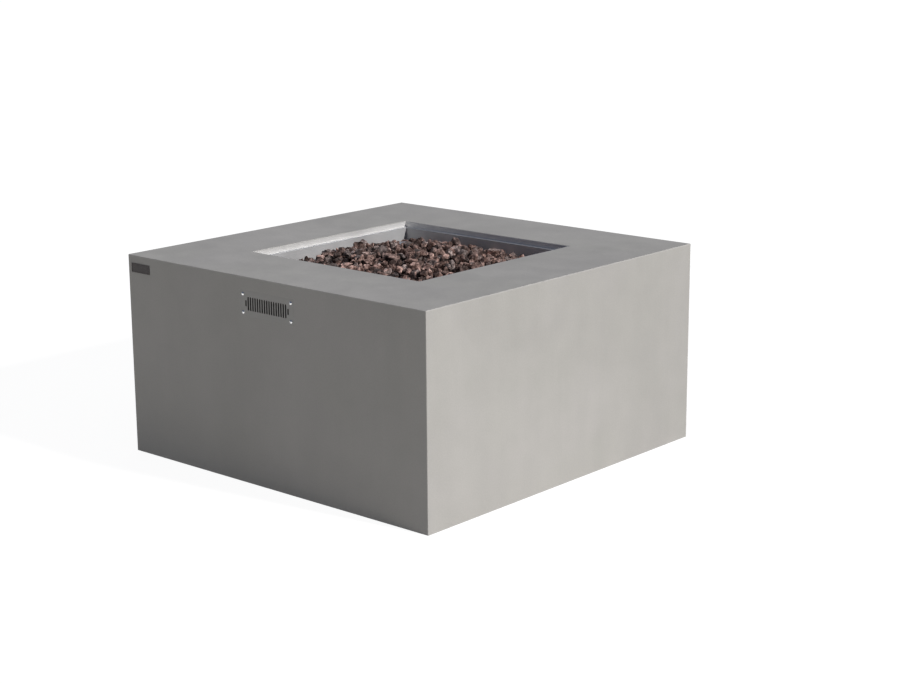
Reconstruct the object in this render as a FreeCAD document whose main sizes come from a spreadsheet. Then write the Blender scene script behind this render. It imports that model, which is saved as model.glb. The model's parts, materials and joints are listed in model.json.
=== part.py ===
"""Square gas fire table: a cast concrete shell with a dropped-in steel burner pan filled with lava rock.

Millimetres. +Z is up, the origin is the middle of the footprint on the ground. The front (-Y) wears the
nameplate and a vent grille, the back (+Y) a second grille and the gas inlet, and the left side (-X) the
control panel.
"""
import FreeCAD, Part
import math
import os
import random

import Sketcher
from FreeCAD import Placement, Rotation, Vector

SIZES = {
    # concrete shell
    "side": 1100, "tall": 560, "wall": 12, "deck": 18.5, "opening": 620, "edge_round": 2.5,
    "ledge_width": 10, "ledge_thick": 16, "ledge_band": 50, "rim_width": 25, "rim_height": 30,
    # nameplate
    "name_wide": 74, "name_high": 25, "name_thick": 1.5, "name_from_side": 15, "name_from_top": 22,
    "name_border": 2, "name_inset": 0.5,
    # vent grilles
    "vent_wide": 200, "vent_high": 70, "sheet": 1.5, "vent_drop": 71, "vent_hole_wide": 166,
    "vent_hole_high": 44, "slot_wide": 5.2, "slot_high": 37, "slot_pitch": 8.7, "slot_count": 17,
    "end_slot_high": 17, "vent_screws_x": 178, "vent_screws_z": 48.5,
    # button-head screws
    "screw_head": 4.75, "screw_top": 3.1, "screw_head_high": 2.6, "screw_shank": 2.5, "screw_long": 13,
    "screw_key": 1.7, "screw_key_deep": 1.5, "blind": 12.5, "fit": 0.1,
    # burner pan and its gasket
    "gasket": 1, "flange": 616, "pan": 590, "pan_floor_z": 434, "gasket_inner": 602, "trim_high": 14.5,
    "drain": 4, "drain_ring": 240, "drain_count": 8, "inlet_hole": 11,
    # burner
    "ring_up": 28, "ring_big": 200, "ring_big_tube": 9.5, "ring_small": 105, "ring_small_tube": 8,
    "tube_wall": 1.2, "hub": 28, "hub_high": 22, "nipple": 10.5, "nipple_drop": 60, "leg": 4,
    "port": 1.2, "port_reach": 14, "ports_big": 40, "ports_small": 20,
    # gas mixer under the pan
    "mixer": 16, "mixer_drop": 94, "elbow": 11, "elbow_long": 38, "nut_thick": 8, "nut_across": 17,
    "hose": 8, "hose_nut": 14, "hose_nut_long": 14, "jet": 0.8, "jet_long": 10, "window_wide": 12,
    "window_high": 18,
    # ignition guard, electrode and thermocouple
    "guard_wide": 52, "guard_deep": 40, "guard_high": 95, "guard_sheet": 1, "guard_out": 245,
    "guard_hole": 2.9, "guard_pitch": 9, "guard_foot": 12, "probe_apart": 10, "ceramic": 3.5,
    "ceramic_long": 62, "probe": 3, "probe_long": 58, "rod": 1, "rod_long": 82, "lead_hole": 6,
    "lead_below": 12,
    # control panel and its parts
    "panel_wide": 190, "panel_high": 96, "panel_z": 440, "panel_y": -25, "panel_cut_wide": 160,
    "panel_cut_high": 66, "panel_screws_y": 172, "panel_screws_z": 78, "igniter_y": -58,
    "valve_long": 44, "valve_wide": 34, "valve_high": 36, "valve_back": 50, "neck": 9, "neck_nut": 13,
    "stem": 4, "stem_long": 27, "sleeve": 8, "sleeve_long": 3, "union": 8, "union_long": 22, "knob": 25,
    "knob_wall": 5, "knob_high": 22, "knob_gap": 6, "knob_face": 6, "knob_flute": 3,
    "knob_flute_count": 12, "igniter": 14, "igniter_long": 66, "igniter_flange": 18,
    "igniter_flange_thick": 3, "cap": 16.5, "cap_long": 6, "button": 10.5, "button_proud": 4,
    "button_gap": 0.5, "button_travel": 3, "battery": 7.2, "battery_long": 49,
    # gas inlet on the back
    "inlet_x": -350, "inlet_z": 90, "inlet_thread": 7.94, "inlet_thread_long": 18, "inlet_hex": 15,
    "inlet_hex_thick": 8, "inlet_body": 9.5, "inlet_body_long": 42, "rose": 24,
    # levelling feet
    "foot_in": 72, "foot_pad": 20, "foot_pad_high": 8, "foot_stem": 5, "foot_stem_long": 72,
    "bracket": 100, "bracket_thick": 3, "bracket_gap": 3, "weld_nut": 9, "weld_nut_high": 8,
    # heat shield between the pan and the valve
    "shield_x": -400, "shield_wide": 160, "shield_y": -20, "shield_bottom": 385, "shield_lip": 26,
    "shield_sheet": 1.2,
    # lava rock
    "bed_top": 480, "bed_gap": 1, "bed_clear": 2, "guard_clear": 44, "rock_pitch": 48.5,
    "rocks_across": 12, "rock_shift": 2.5, "rock_small": 15, "rock_big": 19.5, "rock_low": 500,
    "rock_high": 529.5, "rock_high_reach": 205, "rock_crown": 9, "rock_heap": 300, "rock_seed": 11,
}

TO_LEFT = Rotation(Vector(0, 1, 0), -90)
TO_RIGHT = Rotation(Vector(0, 1, 0), 90)
TO_BACK = Rotation(Vector(1, 0, 0), -90)
TO_FRONT = Rotation(Vector(1, 0, 0), 90)
HALF_TURN = Rotation(Vector(0, 0, 1), 180)
DOWN = Rotation(Vector(1, 0, 0), 180)
CORNERS = ((-1, -1), (1, -1), (1, 1), (-1, 1))
PLACES = {"x": "Placement.Base.x", "y": "Placement.Base.y", "z": "Placement.Base.z"}

doc = FreeCAD.newDocument("FireTable")
nodes = []


def fill_sheet():
    """Writes every driving size into the spreadsheet, one aliased cell each."""
    sheet = doc.addObject("Spreadsheet::Sheet", "Sizes")
    for row, (alias, value) in enumerate(SIZES.items(), start=1):
        sheet.set(f"A{row}", alias)
        sheet.set(f"B{row}", str(value))
        sheet.setAlias(f"B{row}", alias)
    doc.recompute()


def size(formula):
    """Puts the sheet's name before each alias in a formula."""
    words, word = [], ""
    for letter in formula + " ":
        if letter.isalnum() or letter == "_":
            word += letter
            continue
        words.append("Sizes." + word if word in SIZES else word)
        words.append(letter)
        word = ""
    return "".join(words).strip()


def bind(thing, **formulas):
    """Binds properties of an object to formulas over the sheet; x, y and z are its place."""
    for name, formula in formulas.items():
        thing.setExpression(PLACES.get(name, name), size(formula))
    return thing


def keep(thing, label):
    """Marks an object as one of the table's own pieces."""
    thing.Label = label
    nodes.append(thing)
    return thing


# Part workbench helpers


def solid(kind, turn=None, **formulas):
    thing = doc.addObject("Part::" + kind, kind)
    if turn:
        thing.Placement = Placement(Vector(), turn)
    return bind(thing, **formulas)


def fuse(*members):
    thing = doc.addObject("Part::MultiFuse", "Fuse")
    thing.Shapes = list(members)
    return thing


def cut(base, *tools):
    thing = doc.addObject("Part::Cut", "Cut")
    thing.Base = base
    thing.Tool = tools[0] if len(tools) == 1 else fuse(*tools)
    return thing


def group(*members):
    thing = doc.addObject("Part::Compound", "Group")
    thing.Links = list(members)
    return thing


def ring(height, outer, inner, turn=None, **place):
    """A round ring or bush."""
    return cut(solid("Cylinder", turn, Radius=outer, Height=height, **place),
               solid("Cylinder", turn, Radius=inner, Height=height, **place))


def hex_nut(height, across, bore, turn=None, **place):
    return cut(solid("Prism", turn, Circumradius=across, Height=height, **place),
               solid("Cylinder", turn, Radius=bore, Height=height, **place))


def button_screw(turn, **place):
    """A button-head screw whose head stands on the given point and points the way turn sends +Z."""
    head = solid("Cone", turn, Radius1="screw_head", Radius2="screw_top", Height="screw_head_high", **place)
    shank = solid("Cylinder", turn * DOWN, Radius="screw_shank", Height="screw_long", **place)
    key = solid("Prism", turn, Circumradius="screw_key", Height="screw_head_high", **place)
    step = turn.multVec(Vector(0, 0, 1))
    for axis, share in zip("xyz", step):
        if abs(share) > 0.5:
            sign = "+" if share > 0 else "-"
            bind(key, **{axis: f"{place[axis]} {sign} (screw_head_high - screw_key_deep)"})
    return cut(fuse(head, shank), key)


def round_path(points, radius):
    """A wire of straight runs through the points, with each corner rounded by a tangent arc."""
    edges, start = [], points[0]
    for before, corner, after in zip(points, points[1:], points[2:]):
        back = (before - corner).normalize()
        on = (after - corner).normalize()
        half = back.getAngle(on) / 2
        leg = radius / math.tan(half)
        into, out = corner + back * leg, corner + on * leg
        middle = corner + (back + on).normalize() * (radius / math.sin(half) - radius)
        edges.append(Part.LineSegment(start, into).toShape())
        edges.append(Part.Arc(into, middle, out).toShape())
        start = out
    edges.append(Part.LineSegment(start, points[-1]).toShape())
    return Part.Wire(edges)


def pipe(label, points, radius, bend):
    """A round hose or lead swept along its rounded route."""
    route = doc.addObject("Part::Feature", label + "_route")
    route.Shape = round_path(points, bend)
    section = solid("Circle", Rotation(Vector(0, 0, 1), points[1] - points[0]))
    section.Radius = radius
    section.Placement.Base = points[0]
    sweep = doc.addObject("Part::Sweep", label)
    sweep.Sections = [section]
    sweep.Spine = (route, [f"Edge{i + 1}" for i in range(len(route.Shape.Edges))])
    sweep.Solid = True
    sweep.Frenet = True
    return keep(sweep, label)


# PartDesign helpers


def new_body(label):
    return keep(doc.addObject("PartDesign::Body", label), label)


def new_sketch(body, plane="XY_Plane", offset=None):
    sketch = body.newObject("Sketcher::SketchObject", "Sketch")
    support = next(f for f in body.Origin.OriginFeatures if f.Role == plane)
    sketch.AttachmentSupport = [(support, "")]
    sketch.MapMode = "FlatFace"
    if offset:
        sketch.setExpression("AttachmentOffset.Base.z", size(offset))
    return sketch


def pin_point(sketch, geometry, point, x, y):
    """Holds a sketch point at two formulas, measured from the sketch's origin."""
    for kind, formula in (("DistanceX", x), ("DistanceY", y)):
        index = sketch.addConstraint(Sketcher.Constraint(kind, -1, 1, geometry, point, 1.0))
        sketch.setExpression(f"Constraints[{index}]", size(formula))


def polygon(sketch, corners):
    """A closed outline of straight lines, each corner given as a pair of formulas."""
    first, count = sketch.GeometryCount, len(corners)
    angles = [2 * math.pi * i / count for i in range(count)]
    guess = [Vector(math.cos(angle), math.sin(angle), 0) for angle in angles]
    for i in range(count):
        sketch.addGeometry(Part.LineSegment(guess[i], guess[(i + 1) % count]))
    for i in range(count):
        following = first + (i + 1) % count
        sketch.addConstraint(Sketcher.Constraint("Coincident", first + i, 2, following, 1))
    for i, (x, y) in enumerate(corners):
        pin_point(sketch, first + i, 1, x, y)


def rectangle(sketch, x, y, wide, high):
    """A rectangle about a centre, all four given as formulas."""
    left, right = f"{x} - ({wide}) / 2", f"{x} + ({wide}) / 2"
    low, top = f"{y} - ({high}) / 2", f"{y} + ({high}) / 2"
    polygon(sketch, [(left, low), (right, low), (right, top), (left, top)])


def circle(sketch, x, y, radius):
    index = sketch.addGeometry(Part.Circle(Vector(1, 1, 0), Vector(0, 0, 1), 1))
    pin_point(sketch, index, 3, x, y)
    held = sketch.addConstraint(Sketcher.Constraint("Radius", index, 1.0))
    sketch.setExpression(f"Constraints[{held}]", size(radius))


def feature(body, kind, sketch, length=None, reverse=False):
    """A Pad or Pocket of a sketch; without a length it goes right through, both ways."""
    made = body.newObject("PartDesign::" + kind, kind)
    made.Profile = sketch
    if length:
        made.Type = "Length"
        bind(made, Length=length)
        made.Reversed = reverse
    else:
        made.Type = "ThroughAll"
        made.SideType = "Symmetric"
    body.Tip = made
    return made


def corner_points(x, y, wide, high):
    """The four corners of a rectangle about (x, y), as pairs of formulas."""
    return [(f"{x} {sx} ({wide}) / 2", f"{y} {sy} ({high}) / 2") for sx in "-+" for sy in "-+"]


def round_edges(body, wanted):
    """Rounds the edges of a body whose middle point passes a test."""
    base = body.Tip
    doc.recompute()
    names = [f"Edge{i + 1}" for i, edge in enumerate(base.Shape.Edges) if wanted(edge.BoundBox)]
    made = body.newObject("PartDesign::Fillet", "Fillet")
    made.Base = (base, names)
    bind(made, Radius="edge_round")
    body.Tip = made


# the concrete


def concrete_shell():
    """One thin casting: four walls, a deck with a square opening, a ledge for the pan and a foot rim."""
    body = new_body("concrete_shell")
    block = new_sketch(body)
    rectangle(block, "0", "0", "side", "side")
    feature(body, "Pad", block, "tall")
    hollow = new_sketch(body)
    rectangle(hollow, "0", "0", "side - 2 * wall", "side - 2 * wall")
    feature(body, "Pocket", hollow, "tall - deck", reverse=True)
    ledge = new_sketch(body, offset="tall - deck - ledge_thick")
    rectangle(ledge, "0", "0", "opening + 2 * ledge_band", "opening + 2 * ledge_band")
    feature(body, "Pad", ledge, "ledge_thick")
    mouth = new_sketch(body, offset="tall - deck")
    rectangle(mouth, "0", "0", "opening", "opening")
    feature(body, "Pocket", mouth, "deck", reverse=True)
    well = new_sketch(body, offset="tall - deck - ledge_thick")
    rectangle(well, "0", "0", "opening - 2 * ledge_width", "opening - 2 * ledge_width")
    feature(body, "Pocket", well, "ledge_thick", reverse=True)
    rim = new_sketch(body)
    rectangle(rim, "0", "0", "side - wall", "side - wall")
    rectangle(rim, "0", "0", "side - 2 * (wall + rim_width)", "side - 2 * (wall + rim_width)")
    feature(body, "Pad", rim, "rim_height")
    cut_wall_openings(body)
    blind_holes(body)
    half, top, lip = SIZES["side"] / 2, SIZES["tall"], SIZES["opening"] / 2

    def outer_or_mouth(box):
        flat_top = abs(box.ZMin - top) < 0.01 and abs(box.ZMax - top) < 0.01
        upright = box.ZLength > top - 1
        reach = max(abs(box.XMin), abs(box.XMax), abs(box.YMin), abs(box.YMax))
        return upright or (flat_top and (abs(reach - half) < 0.01 or abs(reach - lip) < 0.01))

    round_edges(body, outer_or_mouth)


def cut_wall_openings(body):
    """The vent holes and their rebates, the control panel's hole and rebate, and the gas inlet's hole."""
    vent_z, mid_x = "tall - vent_drop", "0"
    holes = new_sketch(body, "XZ_Plane")
    rectangle(holes, mid_x, vent_z, "vent_hole_wide", "vent_hole_high")
    for x, z in corner_points(mid_x, vent_z, "vent_screws_x", "vent_screws_z"):
        circle(holes, x, z, "screw_shank + fit")
    feature(body, "Pocket", holes)
    for offset, reverse in (("side / 2", False), ("-side / 2", True)):
        rebate = new_sketch(body, "XZ_Plane", offset)
        rectangle(rebate, mid_x, vent_z, "vent_wide + 2 * fit", "vent_high + 2 * fit")
        feature(body, "Pocket", rebate, "sheet", reverse)
    panel = new_sketch(body, "YZ_Plane", "-side / 2")
    rectangle(panel, "panel_y", "panel_z", "panel_cut_wide", "panel_cut_high")
    for y, z in corner_points("panel_y", "panel_z", "panel_screws_y", "panel_screws_z"):
        circle(panel, y, z, "screw_shank + fit")
    feature(body, "Pocket", panel, "2 * wall", reverse=True)
    rebate = new_sketch(body, "YZ_Plane", "-side / 2")
    rectangle(rebate, "panel_y", "panel_z", "panel_wide + 2 * fit", "panel_high + 2 * fit")
    feature(body, "Pocket", rebate, "sheet", reverse=True)
    inlet = new_sketch(body, "XZ_Plane", "-side / 2")
    circle(inlet, "inlet_x", "inlet_z", "inlet_body + fit")
    feature(body, "Pocket", inlet, "2 * wall", reverse=True)


def blind_holes(body):
    """The tapped holes for the foot brackets in the rim and for the heat shield under the deck."""
    rim = new_sketch(body, offset="rim_height")
    for sx, sy in CORNERS:
        for x, y in bracket_spots(sx, sy):
            circle(rim, x, y, "screw_shank + fit")
    feature(body, "Pocket", rim, "blind")
    deck = new_sketch(body, offset="tall - deck")
    for x, y in shield_spots():
        circle(deck, x, y, "screw_shank + fit")
    feature(body, "Pocket", deck, "blind", reverse=True)


def nameplate():
    """A blank plate with a raised border."""
    x = "-side / 2 + name_from_side + name_wide / 2"
    z = "tall - name_from_top - name_high / 2"
    body = new_body("nameplate")
    plate = new_sketch(body, "XZ_Plane", "side / 2")
    rectangle(plate, x, z, "name_wide", "name_high")
    feature(body, "Pad", plate, "name_thick")
    field = new_sketch(body, "XZ_Plane", "side / 2 + name_thick")
    rectangle(field, x, z, "name_wide - 2 * name_border", "name_high - 2 * name_border")
    feature(body, "Pocket", field, "name_inset")


# vent grilles and screws


def round_slot(body, x, z, high):
    """Cuts one upright slot with round ends, and gives back its two pockets."""
    straight = new_sketch(body, "XZ_Plane", "side / 2")
    rectangle(straight, x, z, "slot_wide", f"{high} - slot_wide")
    ends = new_sketch(body, "XZ_Plane", "side / 2")
    for sign in "-+":
        circle(ends, x, f"{z} {sign} ({high} - slot_wide) / 2", "slot_wide / 2")
    return [feature(body, "Pocket", straight), feature(body, "Pocket", ends)]


def vent_grille(label, turn):
    """A flush steel plate with upright slots, the end pair shorter."""
    z = "tall - vent_drop"
    body = new_body(label)
    plate = new_sketch(body, "XZ_Plane", "side / 2")
    rectangle(plate, "0", z, "vent_wide", "vent_high")
    feature(body, "Pad", plate, "sheet", reverse=True)
    holes = new_sketch(body, "XZ_Plane", "side / 2")
    for x, y in corner_points("0", z, "vent_screws_x", "vent_screws_z"):
        circle(holes, x, y, "screw_shank + fit")
    feature(body, "Pocket", holes)
    for sign in "-+":
        round_slot(body, f"{sign} (slot_count + 1) * slot_pitch / 2", z, "end_slot_high")
    parts = round_slot(body, "-(slot_count - 1) * slot_pitch / 2", z, "slot_high")
    row = body.newObject("PartDesign::LinearPattern", "Slots")
    row.Originals = parts
    row.Direction = (parts[0].Profile[0], ["H_Axis"])
    bind(row, Length="(slot_count - 1) * slot_pitch", Occurrences="slot_count")
    body.Tip = row
    body.Placement = Placement(Vector(), turn)


def vent_screws(label, outward, y):
    """The four screws of a grille, their heads on its face."""
    z = "tall - vent_drop"
    places = corner_points("0", z, "vent_screws_x", "vent_screws_z")
    keep(group(*[button_screw(outward, x=x, y=y, z=up) for x, up in places]), label)


# burner pan


def square_band(outer, thick, low, high):
    """Four plates round a square, each a plain box: the outer side, their thickness, their foot and their height."""
    reach, between = f"-({outer}) / 2", f"{outer} - 2 * ({thick})"
    far = f"({outer}) / 2 - ({thick})"
    near = f"-({between}) / 2"
    sides = [solid("Box", Length=thick, Width=outer, Height=high, x=x, y=reach, z=low) for x in (reach, far)]
    ends = [solid("Box", Length=between, Width=thick, Height=high, x=near, y=y, z=low) for y in (reach, far)]
    return sides + ends


def burner_pan():
    """A welded steel pan with drains and a flange on the ledge, and the trim round the mouth that stands on it."""
    outside, flange_low = "pan + 2 * sheet", "tall - deck + gasket"
    corner = f"-({outside}) / 2"
    floor = solid("Box", Length=outside, Width=outside, Height="sheet", x=corner, y=corner, z="pan_floor_z")
    spots = [("0", "0", "inlet_hole")]
    spots += [(*guard_point("0", f"{sign} probe_apart"), "lead_hole") for sign in "-+"]
    for step in range(SIZES["drain_count"]):
        angle = 2 * math.pi * step / SIZES["drain_count"]
        spots.append((f"drain_ring * {math.cos(angle):.6f}", f"drain_ring * {math.sin(angle):.6f}", "drain"))
    holes = [solid("Cylinder", Radius=radius, Height="sheet", x=x, y=y, z="pan_floor_z") for x, y, radius in spots]
    walls = square_band(outside, "sheet", "pan_floor_z + sheet", f"{flange_low} - pan_floor_z")
    flange = square_band("flange", f"(flange - ({outside})) / 2", flange_low, "sheet")
    keep(group(cut(floor, *holes), *walls, *flange), "burner_pan")
    keep(group(*square_band("flange", "sheet", f"{flange_low} + sheet", "trim_high")), "pan_trim")


def guard_point(out, along):
    """The plan place, as formulas, of a point out and along from the ignition guard's middle."""
    root = "0.70710678"
    reach = f"(guard_out + {out}) * {root}"
    return f"({along}) * {root} - {reach}", f"({along}) * {root} + {reach}"


def pan_gasket():
    low = "tall - deck"
    outer = solid("Box", Length="flange", Width="flange", Height="gasket",
                  x="-flange / 2", y="-flange / 2", z=low)
    inner = solid("Box", Length="gasket_inner", Width="gasket_inner", Height="gasket",
                  x="-gasket_inner / 2", y="-gasket_inner / 2", z=low)
    keep(cut(outer, inner), "pan_gasket")


# burner


RING_Z = "pan_floor_z + sheet + ring_up"


def burner_tubes(inset):
    """The burner's rings, cross tubes, hub and inlet nipple, shrunk by a wall's thickness for the gas way."""
    across = "2 * ring_big"
    cross = [solid("Cylinder", turn, Radius=f"ring_small_tube - {inset}", Height=across, z=RING_Z, **start)
             for turn, start in ((TO_RIGHT, {"x": "-ring_big"}), (TO_BACK, {"y": "-ring_big"}))]
    rings = [solid("Torus", Radius1=big, Radius2=f"{tube} - {inset}", z=RING_Z)
             for big, tube in (("ring_big", "ring_big_tube"), ("ring_small", "ring_small_tube"))]
    hub = solid("Cylinder", Radius=f"hub - {inset}", Height=f"hub_high - 2 * {inset}",
                z=f"{RING_Z} - hub_high / 2 + {inset}")
    return [*rings, *cross, hub]


def burner():
    """A welded double-ring burner with gas ports along the top of both rings."""
    nipple_low = "pan_floor_z - nipple_drop"
    nipple_high = f"({RING_Z}) - ({nipple_low})"
    nipple = solid("Cylinder", Radius="nipple", Height=nipple_high, z=nipple_low)
    bore = solid("Cylinder", Radius="nipple - 2 * tube_wall", Height=nipple_high, z=nipple_low)
    legs = []
    for step in range(4):
        angle = math.radians(45 + 90 * step)
        legs.append(solid("Cylinder", Radius="leg", Height="ring_up - tube_wall",
                          x=f"ring_big * {math.cos(angle):.6f}", y=f"ring_big * {math.sin(angle):.6f}",
                          z="pan_floor_z + sheet"))
    ports = []
    for big, count in (("ring_big", SIZES["ports_big"]), ("ring_small", SIZES["ports_small"])):
        for step in range(count):
            angle = 2 * math.pi * (step + 0.5) / count
            ports.append(solid("Cylinder", Radius="port", Height="port_reach", z=RING_Z,
                               x=f"{big} * {math.cos(angle):.6f}", y=f"{big} * {math.sin(angle):.6f}"))
    outside = fuse(*burner_tubes("0"), nipple, *legs)
    gas_way = fuse(*burner_tubes("tube_wall"), bore)
    keep(cut(cut(outside, gas_way), fuse(*ports)), "burner")


def gas_mixer():
    """The air mixer below the pan: a sleeve on the burner's nipple, air windows and an elbow to the hose."""
    top = "pan_floor_z - nut_thick - nipple_drop / 2"
    low = "pan_floor_z - mixer_drop"
    keep(hex_nut("nut_thick", "nut_across", "nipple + fit", z="pan_floor_z - nut_thick"), "burner_locknut")
    sleeve = solid("Cylinder", Radius="mixer", Height=f"({top}) - ({low}) + elbow", z=f"{low} - elbow")
    elbow = solid("Cylinder", TO_LEFT, Radius="elbow", Height="elbow_long", z=low)
    socket = solid("Cylinder", Radius="nipple + fit", Height="nipple_drop", z="pan_floor_z - nipple_drop")
    throat = solid("Cylinder", Radius="nipple - 2 * tube_wall", Height="nipple_drop", z=low)
    feed = solid("Cylinder", TO_LEFT, Radius="hose - 3", Height="elbow_long + 1", z=low)
    window = solid("Box", Length="4 * mixer", Width="window_wide", Height="window_high",
                   x="-2 * mixer", y="-window_wide / 2", z=f"{low} + elbow + 2")
    keep(cut(fuse(sleeve, elbow), socket, throat, feed, window), "air_mixer")
    keep(ring("jet_long", "hose - 3 - fit", "jet", TO_LEFT, x="2 + jet_long - elbow_long", z=low), "gas_jet")


# ignition


def ignition_guard():
    """A perforated steel box over the igniter, open below, with two feet on the pan's floor."""
    body = new_body("ignition_guard")
    floor = "pan_floor_z + sheet"
    box = new_sketch(body, offset=floor)
    rectangle(box, "guard_out", "0", "guard_deep", "guard_wide")
    feature(body, "Pad", box, "guard_high")
    room = new_sketch(body, offset=floor)
    rectangle(room, "guard_out", "0", "guard_deep - 2 * guard_sheet", "guard_wide - 2 * guard_sheet")
    feature(body, "Pocket", room, "guard_high - guard_sheet", reverse=True)
    feet = new_sketch(body, offset=floor)
    for sign in "-+":
        rectangle(feet, "guard_out", f"{sign} (guard_wide + guard_foot) / 2", "guard_deep", "guard_foot")
    feature(body, "Pad", feet, "guard_sheet")
    bolts = new_sketch(body, offset=floor)
    for sign in "-+":
        circle(bolts, "guard_out", f"{sign} (guard_wide + guard_foot) / 2", "screw_shank + fit")
    feature(body, "Pocket", bolts, "guard_sheet * 2", reverse=True)
    rows = int((SIZES["guard_high"] - 16) // SIZES["guard_pitch"])
    for plane, columns, along in (("YZ_Plane", 5, "0"), ("XZ_Plane", 3, "guard_out")):
        holes = new_sketch(body, plane)
        for column in range(columns):
            for row in range(rows):
                circle(holes, f"{along} + {column - (columns - 1) / 2} * guard_pitch",
                       f"{floor} + guard_high - 7 - {row} * guard_pitch", "guard_hole")
        feature(body, "Pocket", holes)
    body.Placement = Placement(Vector(), Rotation(Vector(0, 0, 1), 135))


def igniter_probes():
    """The spark electrode and the thermocouple, each standing in its own hole in the pan's floor."""
    low = "pan_floor_z - lead_below"
    ex, ey = guard_point("0", "-probe_apart")
    tx, ty = guard_point("0", "probe_apart")
    bushes = (("electrode_grommet", ex, ey, "ceramic"), ("thermocouple_grommet", tx, ty, "probe"))
    for label, x, y, radius in bushes:
        place = {"x": x, "y": y}
        sleeve = solid("Cylinder", Radius="lead_hole - fit", Height="3 * sheet", z="pan_floor_z - sheet", **place)
        bead = solid("Cylinder", Radius="lead_hole + 2", Height="sheet", z="pan_floor_z - sheet - fit", **place)
        bore = solid("Cylinder", Radius=f"{radius} + fit", Height="6 * sheet", z="pan_floor_z - 3 * sheet",
                     **place)
        keep(cut(fuse(sleeve, bead), bore), label)
    tube = solid("Cylinder", Radius="ceramic", Height="ceramic_long", x=ex, y=ey, z=low)
    bore = solid("Cylinder", Radius="rod + fit", Height="ceramic_long", x=ex, y=ey, z=low)
    keep(cut(tube, bore), "spark_electrode")
    keep(solid("Cylinder", Radius="rod", Height="rod_long", x=ex, y=ey, z=low), "electrode_rod")
    probe = solid("Cylinder", Radius="probe", Height="probe_long", x=tx, y=ty, z=low)
    tip = solid("Sphere", Radius="probe", x=tx, y=ty, z=f"{low} + probe_long")
    keep(fuse(probe, tip), "thermocouple")


def guard_screws():
    z = "pan_floor_z + sheet + guard_sheet"
    places = [guard_point("0", f"{sign} (guard_wide + guard_foot) / 2") for sign in "-+"]
    keep(group(*[short_screw(x, y, z) for x, y in places]), "guard_screws")


def short_screw(x, y, z):
    """A screw just long enough to hold the guard's foot sheet; its shank ends on the pan's floor."""
    head = solid("Cone", Radius1="screw_head", Radius2="screw_top", Height="screw_head_high", x=x, y=y, z=z)
    shank = solid("Cylinder", Radius="screw_shank", Height="guard_sheet", x=x, y=y, z=f"{z} - guard_sheet")
    key = solid("Prism", Circumradius="screw_key", Height="screw_head_high",
                x=x, y=y, z=f"{z} + screw_head_high - screw_key_deep")
    return cut(fuse(head, shank), key)


# control panel


FACE = "-side / 2"


def control_panel():
    body = new_body("control_panel")
    plate = new_sketch(body, "YZ_Plane", FACE)
    rectangle(plate, "panel_y", "panel_z", "panel_wide", "panel_high")
    feature(body, "Pad", plate, "sheet")
    holes = new_sketch(body, "YZ_Plane", FACE)
    for y, z in corner_points("panel_y", "panel_z", "panel_screws_y", "panel_screws_z"):
        circle(holes, y, z, "screw_shank + fit")
    circle(holes, "0", "panel_z", "neck + fit")
    circle(holes, "igniter_y", "panel_z", "igniter + fit")
    feature(body, "Pocket", holes)
    places = corner_points("panel_y", "panel_z", "panel_screws_y", "panel_screws_z")
    keep(group(*[button_screw(TO_LEFT, x=FACE, y=y, z=z) for y, z in places]), "panel_screws")


def control_valve():
    """The valve block behind the panel, its threaded neck, and unions for the two hoses."""
    face_x = f"{FACE} + valve_back"
    block = solid("Box", Length="valve_long", Width="valve_wide", Height="valve_high",
                  x=face_x, y="-valve_wide / 2", z="panel_z - valve_high / 2")
    neck = solid("Cylinder", TO_LEFT, Radius="neck", Height="valve_back + 4", x=face_x, z="panel_z")
    middle = f"{face_x} + valve_long / 2"
    outlet = solid("Prism", DOWN, Circumradius="union + 1", Height="union_long",
                   x=middle, z="panel_z - valve_high / 2")
    inlet = solid("Prism", TO_BACK, Circumradius="union + 1", Height="union_long",
                  x=middle, y="valve_wide / 2", z="panel_z")
    bore = solid("Cylinder", TO_LEFT, Radius="stem + 0.4", Height="valve_back + 16",
                 x=f"{face_x} + 12", z="panel_z")
    keep(cut(fuse(block, neck, outlet, inlet), bore), "control_valve")
    keep(hex_nut("4", "neck_nut", "neck + fit", TO_LEFT, x=FACE, z="panel_z"), "valve_nut")
    low = f"{FACE} - knob_gap - 2"
    keep(ring("sleeve_long", "sleeve", "stem + 0.4", TO_LEFT, x=low, z="panel_z"), "knob_sleeve")
    stem_from = f"{face_x} - 8"
    keep(solid("Cylinder", TO_LEFT, Radius="stem", Height="valve_back + stem_long - 8",
               x=stem_from, z="panel_z"), "valve_stem")


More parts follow.
